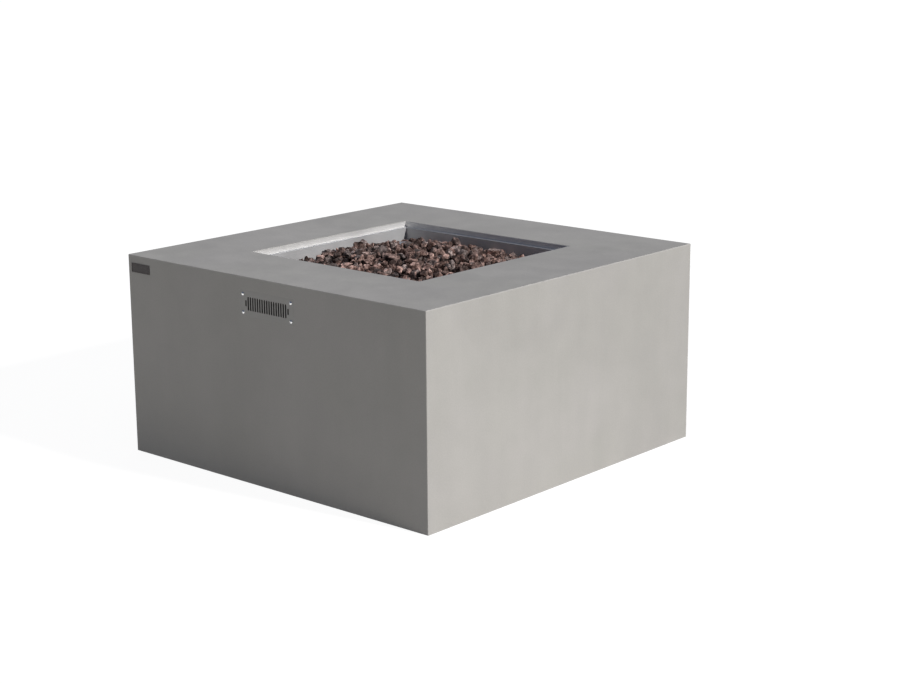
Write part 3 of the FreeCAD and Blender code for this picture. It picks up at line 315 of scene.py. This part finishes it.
def piece(name, slot, vertices, faces, body="table", stands_for=(), smooth=35):
    """A new mesh piece with a record slot's finish, riding on a body."""
    mesh = bpy.data.meshes.new(name)
    mesh.from_pydata([tuple(v) for v in vertices], [], [tuple(f) for f in faces])
    mesh.materials.append(FINISHES[slot])
    mesh.polygons.foreach_set("use_smooth", [True] * len(mesh.polygons))
    mesh.set_sharp_from_angle(angle=math.radians(smooth))
    made = bpy.data.objects.new(name, mesh)
    scene.collection.objects.link(made)
    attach(made, body)
    if stands_for:
        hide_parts(*stands_for)
    return made


def join(parts):
    """Several (vertices, faces) as one."""
    vertices, faces, start = [], [], 0
    for points, polygons in parts:
        vertices.extend(points)
        faces.extend([[i + start for i in polygon] for polygon in polygons])
        start += len(points)
    return vertices, faces


def lathe(profile, sides=32):
    """A solid of revolution about +Z from (radius, height) pairs; an end closes where the radius is 0."""
    rings, faces = [], []
    for radius, height in profile:
        count = 1 if radius == 0 else sides
        turns = [2 * math.pi * i / sides for i in range(count)]
        rings.append([(radius * math.cos(turn), radius * math.sin(turn), height) for turn in turns])
    starts = np.cumsum([0] + [len(r) for r in rings]).tolist()
    for level, (low, high) in enumerate(zip(rings, rings[1:])):
        a, b = starts[level], starts[level + 1]
        for i in range(sides):
            j = (i + 1) % sides
            if len(low) == 1:
                faces.append((a, b + j, b + i))
            elif len(high) == 1:
                faces.append((a + i, a + j, b))
            else:
                faces.append((a + i, a + j, b + j, b + i))
    return [p for r in rings for p in r], faces


def placed(part, matrix):
    vertices, faces = part
    return [tuple(matrix @ Vector(v)) for v in vertices], faces


def pointing(direction, place):
    """A matrix that takes +Z to the direction and the origin to the place."""
    turn = Vector((0, 0, 1)).rotation_difference(Vector(direction))
    return Matrix.Translation(place) @ turn.to_matrix().to_4x4()


def hexagon(across, low, high, chamfer):
    """A hexagon bar along +Z with rounded-off corners at both ends."""
    profile = [(0, low), (across * 0.86, low), (across, low + chamfer), (across, high - chamfer),
               (across * 0.86, high), (0, high)]
    return lathe(profile, 6)


def socket_screw(head=HEAD_RADIUS, high=0.0029, key=0.0017):
    """A domed head with a hexagon socket, standing on z = 0."""
    rim = [(0, -0.0004), (head, -0.0004), (head, 0.0003)]
    dome = [(head * math.cos(t), 0.0003 + (high - 0.0003) * math.sin(t)) for t in np.linspace(0.12, 1.16, 7)]
    sides = 36
    vertices, faces = lathe(rim + dome, sides)
    last = len(vertices) - sides
    start = len(vertices)
    top = high * 0.985
    for depth in (top, top - 0.0015):
        for i in range(6):
            angle = math.pi / 3 * i
            vertices.append((key * math.cos(angle), key * math.sin(angle), depth))
    for i in range(6):
        a, b = last + i * 6, last + (i * 6 + 6) % sides
        ring = [last + (i * 6 + k) % sides for k in range(7)]
        faces.append(ring + [start + (i + 1) % 6, start + i])
        faces.append((start + i, start + (i + 1) % 6, start + 6 + (i + 1) % 6, start + 6 + i))
    faces.append([start + 6 + i for i in range(6)])
    return vertices, faces


def screws(name, node, outward):
    """Detailed heads for a node's screws, standing on the face that the CAD heads stand on."""
    low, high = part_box(node)
    axis = max(range(3), key=lambda i: abs(outward[i]))
    face = (high if outward[axis] > 0 else low)[axis] - outward[axis] * HEAD_HIGH
    across = [i for i in range(3) if i != axis]
    parts = []
    for u in (low[across[0]] + HEAD_RADIUS, high[across[0]] - HEAD_RADIUS):
        for v in (low[across[1]] + HEAD_RADIUS, high[across[1]] - HEAD_RADIUS):
            spot = [0, 0, 0]
            spot[axis], spot[across[0]], spot[across[1]] = face, u, v
            turn = Matrix.Rotation(17.0 * (u + v) * 40, 4, "Z")
            parts.append(placed(socket_screw(), pointing(outward, spot) @ turn))
    piece(name, "screw_steel", *join(parts), stands_for=[node])


screws("front_grille_screws", "front_vent_screws", (0, -1, 0))
screws("rear_grille_screws", "rear_vent_screws", (0, 1, 0))
screws("control_panel_screws", "panel_screws", (-1, 0, 0))


def threaded(radius, low, high, pitch, root):
    """Profile points of a thread's ridges between two heights."""
    points, z = [], low
    while z + pitch <= high:
        points += [(root, z), (radius, z + pitch * 0.45), (radius, z + pitch * 0.55)]
        z += pitch
    points.append((root, z))
    return points


def gas_fitting():
    low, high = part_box("inlet_fitting")
    x, z = (low.x + high.x) / 2, (low.z + high.z) / 2
    wall = SIDE / 2
    nose = 0.028
    bore = 0.0049
    profile = [(0, -0.0385), (bore, -0.0385), (bore, -0.040), (0.0089, -0.040), (0.0095, -0.0392),
               (0.0095, 0.002), (0.0095, 0.0099)]
    profile += threaded(0.00794, 0.0102, nose - 0.003, 0.0014, 0.0071)
    profile += [(0.0071, nose - 0.0028), (bore + 0.0006, nose), (bore, nose - 0.0005), (bore, 0.004),
                (0, 0.004)]
    body = lathe(profile, 40)
    nut = hexagon(0.015, 0.002, 0.010, 0.0011)
    spot = pointing((0, 1, 0), (x, wall, z))
    piece("gas_inlet", "brass", *join([placed(body, spot), placed(nut, spot)]), stands_for=["inlet_fitting"])


gas_fitting()


def foot(number):
    """A levelling foot: dished pad, swivel boss, jam flat and a threaded stem."""
    node = f"levelling_foot_{number}"
    low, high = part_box(node)
    centre = ((low.x + high.x) / 2, (low.y + high.y) / 2, 0)
    profile = [(0, 0.0), (0.0185, 0.0), (0.0195, 0.0006), (0.02, 0.0015), (0.02, 0.0036), (0.0192, 0.0044),
               (0.0125, 0.0060), (0.0095, 0.0072), (0.0080, 0.0080), (0.0074, 0.0105), (0.0070, 0.0110)]
    profile += threaded(0.005, 0.0110, 0.0745, 0.0015, 0.0042)
    profile += [(0.0036, 0.0755), (0, 0.076)]
    piece(f"threaded_foot_{number}", "foot_black", *placed(lathe(profile, 28), Matrix.Translation(centre)),
          body=f"foot_{number}", stands_for=[node])


for number in range(1, 5):
    foot(number)


def dial_marks():
    """Graduations round the knob: a stop dot and an arc that swells from low to high."""
    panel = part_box("control_panel")
    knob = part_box("control_knob")
    y, z = (knob[0].y + knob[1].y) / 2, (knob[0].z + knob[1].z) / 2
    face, proud, dot = panel[0].x, 0.0004, 0.0014
    inner, half, last = 0.029, 0.00045, 12
    parts = [placed(lathe([(0, 0), (dot, 0), (dot, proud), (0, proud)], 20),
                    pointing((-1, 0, 0), (face, y, z + 0.031)))]
    for step in range(1, last + 1):
        angle = math.radians(180 / last * step)
        outer = inner + 0.0022 + 0.0028 * (1 - step / last)
        along = Vector((0, -math.sin(angle), math.cos(angle)))
        side = Vector((0, math.cos(angle), math.sin(angle)))
        hub = Vector((face, y, z))
        corners = [hub + along * r + side * w for r, w in ((inner, -half), (outer, -half), (outer, half),
                                                             (inner, half))]
        lifted = [c + Vector((-proud, 0, 0)) for c in corners]
        parts.append((corners + lifted, [(0, 1, 2, 3), (7, 6, 5, 4), (0, 4, 5, 1), (1, 5, 6, 2), (2, 6, 7, 3),
                                         (3, 7, 4, 0)]))
    piece("dial_marks", "knob_black", *join(parts))


dial_marks()


# lava rock


GUARD = sum((Vector(corner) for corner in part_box("ignition_guard")), Vector()) / 2
BED_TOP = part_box("rock_bed")[1].z
PAN = 0.295
CELL = 0.0025
CELLS = 240
HEAP_TOP = 0.561
HEAP_DROP = 0.031
STRAYS = 30
STRAY_TOP = 0.571


def ball(level):
    """Vertices and triangles of a unit icosphere."""
    form = bmesh.new()
    bmesh.ops.create_icosphere(form, subdivisions=level, radius=1)
    form.verts.index_update()
    points = np.array([v.co for v in form.verts])
    triangles = np.array([[v.index for v in f.verts] for f in form.faces])
    form.free()
    return points, triangles


def rock(draw, points):
    """One broken lump: flat fracture faces, blunt ridges and burst bubbles."""
    shape = points.copy()
    for _ in range(draw.integers(8, 13)):
        normal = draw.normal(size=3)
        normal /= np.linalg.norm(normal)
        over = np.clip(shape @ normal - draw.uniform(0.4, 0.78), 0, None)
        shape -= np.outer(over * 0.93, normal)
    for _ in range(4):
        wave, phase = draw.normal(size=3) * 3.2, draw.uniform(0, 6.28)
        shape *= 1 + 0.06 * np.sin(shape @ wave + phase)[:, None]
    for _ in range(34):
        centre = shape[draw.integers(len(shape))]
        reach, depth = draw.uniform(0.13, 0.34), draw.uniform(0.03, 0.11)
        near = np.linalg.norm(shape - centre, axis=1) / reach
        dent = np.clip(1 - near ** 2, 0, None) * depth
        shape -= dent[:, None] * centre / np.linalg.norm(centre)
    shape += draw.normal(size=shape.shape) * 0.008
    return shape


def turned(draw):
    """A random rotation matrix."""
    q = draw.normal(size=4)
    w, x, y, z = q / np.linalg.norm(q)
    return np.array([[1 - 2 * (y * y + z * z), 2 * (x * y - w * z), 2 * (x * z + w * y)],
                     [2 * (x * y + w * z), 1 - 2 * (x * x + z * z), 2 * (y * z - w * x)],
                     [2 * (x * z - w * y), 2 * (y * z + w * x), 1 - 2 * (x * x + y * y)]])


def heap_height(x, y):
    """The level that the tips of the rocks reach."""
    swell = 0.004 * np.sin(17 * x + 1.2) * np.cos(19 * y - 0.7)
    return HEAP_TOP - HEAP_DROP * (np.hypot(x, y) / 0.3) ** 2 + swell


def in_guard(x, y, margin):
    """True over the ignition guard, grown by a margin."""
    u = ((x - GUARD.x) + (y - GUARD.y)) * math.sqrt(0.5)
    v = ((x - GUARD.x) - (y - GUARD.y)) * math.sqrt(0.5)
    return (np.abs(u) < 0.026 + margin) & (np.abs(v) < 0.020 + margin)


def footprint(shape):
    """The cells under a rock about its own middle, with its lowest and highest point in each."""
    column = np.floor(shape[:, 0] / CELL).astype(int)
    row = np.floor(shape[:, 1] / CELL).astype(int)
    key = (column + 64) * 128 + row + 64
    order = np.unique(key)
    spot = np.searchsorted(order, key)
    low, high = np.full(len(order), np.inf), np.full(len(order), -np.inf)
    np.minimum.at(low, spot, shape[:, 2])
    np.maximum.at(high, spot, shape[:, 2])
    return order // 128 - 64, order % 128 - 64, low, high


def pile():
    """Drops rocks one by one, each in the lowest of several places, then a few strays on top."""
    draw = np.random.default_rng(7)
    points, triangles = ball(3)
    forms = [rock(draw, points) for _ in range(48)]
    middle = (np.arange(CELLS) - CELLS / 2 + 0.5) * CELL
    gx, gy = np.meshgrid(middle, middle, indexing="ij")
    level = np.maximum(BED_TOP, heap_height(gx, gy) - 0.055)
    level[in_guard(gx, gy, 0.003)] = 9.0
    full = 90
    rocks, misses, strays = [], 0, STRAYS
    while misses < full or strays:
        spans = draw.uniform(0.0115, 0.0215) * draw.uniform((0.9, 0.72, 0.6), (1.22, 1.0, 0.9))
        shape = (forms[draw.integers(len(forms))] * spans) @ turned(draw).T
        cols, rows, low, high = footprint(shape)
        reach = PAN - 0.003 - np.abs(shape[:, :2]).max(0)
        best = None
        for _ in range(26):
            spot = draw.uniform(-reach, reach)
            i = cols + int(spot[0] / CELL + CELLS / 2)
            j = rows + int(spot[1] / CELL + CELLS / 2)
            rest = (level[i, j] - low).max()
            spare = heap_height(*spot) - (rest + shape[:, 2].max())
            if best is None or spare > best[0]:
                best = (spare, spot, rest, i, j)
        spare, spot, rest, i, j = best
        if spare < -0.002:
            misses += 1
            if misses < full or spare < -0.014 or rest + shape[:, 2].max() > STRAY_TOP:
                continue
            strays -= 1
        rest -= 0.0012
        level[i, j] = np.maximum(level[i, j], rest + high)
        rocks.append(shape + np.array([(np.floor(spot[0] / CELL) + 0.5) * CELL,
                                       (np.floor(spot[1] / CELL) + 0.5) * CELL, rest]))
    return rocks, triangles


def lay_rocks():
    rocks, triangles = pile()
    groups = {}
    for shape in rocks:
        centre = shape.mean(0)
        groups.setdefault((int(centre[0] > 0), int(centre[1] > 0)), []).append(shape)
    for (right, back), shapes in sorted(groups.items()):
        vertices = np.concatenate(shapes)
        faces = np.concatenate([triangles + i * len(shapes[0]) for i in range(len(shapes))])
        made = piece(f"loose_rocks_{'right' if right else 'left'}_{'back' if back else 'front'}", "lava",
                     vertices, faces, smooth=30)
        if not right and not back:
            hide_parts("lava_rocks")
    print("rocks", len(rocks))


def buried_rocks():
    """The lumpy top of the buried rock, closing the gaps under the loose ones."""
    pitch, count = 0.006, 97
    middle = (np.arange(count) - (count - 1) / 2) * pitch
    gx, gy = np.meshgrid(middle, middle, indexing="ij")
    draw = np.random.default_rng(3)
    lumps = np.zeros_like(gx)
    for x, y in draw.uniform(-0.285, 0.285, (980, 2)):
        lumps = np.maximum(lumps, 0.012 * np.clip(1 - ((gx - x) ** 2 + (gy - y) ** 2) / 0.013 ** 2, 0, None))
    top = np.maximum(BED_TOP, heap_height(gx, gy) - 0.062) + lumps
    clear = np.hypot(gx - GUARD.x, gy - GUARD.y) < 0.048
    vertices, faces, seen = [], [], {}

    def vertex(i, j, upper):
        key = (i, j, upper)
        if key not in seen:
            seen[key] = len(vertices)
            vertices.append((middle[i], middle[j], top[i, j] if upper else BED_TOP - 0.0004))
        return seen[key]

    solid = np.zeros((count + 1, count + 1), bool)
    solid[1:count, 1:count] = ~(clear[:-1, :-1] | clear[1:, :-1] | clear[:-1, 1:] | clear[1:, 1:])
    for i in range(1, count):
        for j in range(1, count):
            if not solid[i, j]:
                continue
            a, b, c, d = (i - 1, j - 1), (i, j - 1), (i, j), (i - 1, j)
            faces.append([vertex(*p, True) for p in (a, b, c, d)])
            faces.append([vertex(*p, False) for p in (d, c, b, a)])
            sides = (((i, j - 1), (a, b)), ((i + 1, j), (b, c)), ((i, j + 1), (c, d)), ((i - 1, j), (d, a)))
            for near, (p, q) in sides:
                if not solid[near]:
                    faces.append([vertex(*p, False), vertex(*q, False), vertex(*q, True), vertex(*p, True)])
    # painted shade: the lava_deep finish darkens this rock, which lies in the shade of the loose stones
    piece("buried_rocks", "lava_deep", vertices, faces, smooth=60)


lay_rocks()
buried_rocks()


# camera, floor and light


def camera():
    view = bpy.data.cameras.new("camera")
    view.sensor_width = 36.0
    view.lens = 74.621
    view.clip_end = 60
    made = bpy.data.objects.new("camera", view)
    scene.collection.objects.link(made)
    turn, lift, roll = math.radians(41.528), math.radians(13.7835), math.radians(-0.397)
    back = Vector((math.sin(turn) * math.cos(lift), -math.cos(turn) * math.cos(lift), math.sin(lift)))
    right = Vector((math.cos(turn), math.sin(turn), 0))
    up = back.cross(right)
    side = right * math.cos(roll) + up * math.sin(roll)
    top = up * math.cos(roll) - right * math.sin(roll)
    made.matrix_world = Matrix.LocRotScale(Vector((3.43543, -3.72353, 1.53654)),
                                           Matrix((side, top, back)).transposed(), None)
    scene.camera = made


def floor():
    """White with a faint shadow to the eye and to shiny surfaces, a mid grey to the light it gives back."""
    mesh = bpy.data.meshes.new("floor")
    reach = 40.0
    mesh.from_pydata([(-reach, -reach, 0), (reach, -reach, 0), (reach, reach, 0), (-reach, reach, 0)], [],
                     [(0, 1, 2, 3)])
    s = Shader("floor")
    cloud = s.noise(0.5, 2, 0.5)
    seen = s.add("BsdfDiffuse", {"Color": s.mix(s.ramp(cloud, 0.3, 0.7), rgb(0.155, 0.155, 0.155),
                                                rgb(0.165, 0.165, 0.165))}).outputs[0]
    glow = s.add("Emission", {"Color": rgb(1, 1, 1), "Strength": 0.915}).outputs[0]
    lit = s.add("AddShader", {0: seen, 1: glow}).outputs[0]
    bounce = s.add("BsdfDiffuse", {"Color": rgb(0.59, 0.572, 0.53)}).outputs[0]
    path = s.add("LightPath")
    white = s.math("MAXIMUM", path.outputs["Is Camera Ray"], path.outputs["Is Glossy Ray"])
    mixed = s.add("MixShader", {0: white, 1: bounce, 2: lit}).outputs[0]
    s.tree.links.new(mixed, s.tree.nodes["Material Output"].inputs["Surface"])
    mesh.materials.append(s.material)
    made = bpy.data.objects.new("floor", mesh)
    scene.collection.objects.link(made)


def sky():
    """White to the eye, a soft dome to matt surfaces and a darker, bluer one to shiny ones."""
    world = bpy.data.worlds.new("studio")
    world.use_nodes = True
    tree = world.node_tree
    place = tree.nodes.new("ShaderNodeTexCoord").outputs["Generated"]
    split = tree.nodes.new("ShaderNodeSeparateXYZ")
    tree.links.new(place, split.inputs[0])

    def dome(horizon, zenith):
        """A background that goes from one colour at the horizon to another overhead."""
        tint = tree.nodes.new("ShaderNodeMix")
        tint.data_type = "RGBA"
        tint.inputs[6].default_value = horizon
        tint.inputs[7].default_value = zenith
        tree.links.new(split.outputs[2], tint.inputs[0])
        made = tree.nodes.new("ShaderNodeBackground")
        tree.links.new(tint.outputs[2], made.inputs[0])
        return made.outputs[0]

    def choose(test, other, wanted):
        mix = tree.nodes.new("ShaderNodeMixShader")
        for socket, value in zip(mix.inputs, (test, other, wanted)):
            tree.links.new(value, socket)
        return mix.outputs[0]

    path = tree.nodes.new("ShaderNodeLightPath").outputs
    white = tree.nodes["Background"]
    white.inputs[0].default_value = rgb(1, 1, 1)
    matt = dome(rgb(0.10, 0.105, 0.12), rgb(0.53, 0.54, 0.575))
    shiny = dome(rgb(0.02, 0.032, 0.065), rgb(0.13, 0.16, 0.24))
    light = choose(path["Is Glossy Ray"], matt, shiny)
    seen = choose(path["Is Camera Ray"], light, white.outputs[0])
    tree.links.new(seen, tree.nodes["World Output"].inputs[0])
    scene.world = world


def key_light():
    """A low, slightly soft main light from the right."""
    lamp = bpy.data.lights.new("key", "SUN")
    lamp.energy = 3.05
    lamp.angle = math.radians(3.0)
    lamp.color = (1.0, 0.975, 0.94)
    made = bpy.data.objects.new("key", lamp)
    turn, lift = math.radians(9.0), math.radians(26.5)
    towards = Vector((math.cos(turn) * math.cos(lift), math.sin(turn) * math.cos(lift), math.sin(lift)))
    made.matrix_world = towards.to_track_quat("Z", "Y").to_matrix().to_4x4()
    scene.collection.objects.link(made)


camera()
floor()
sky()
key_light()
scene.view_settings.view_transform = "Standard"
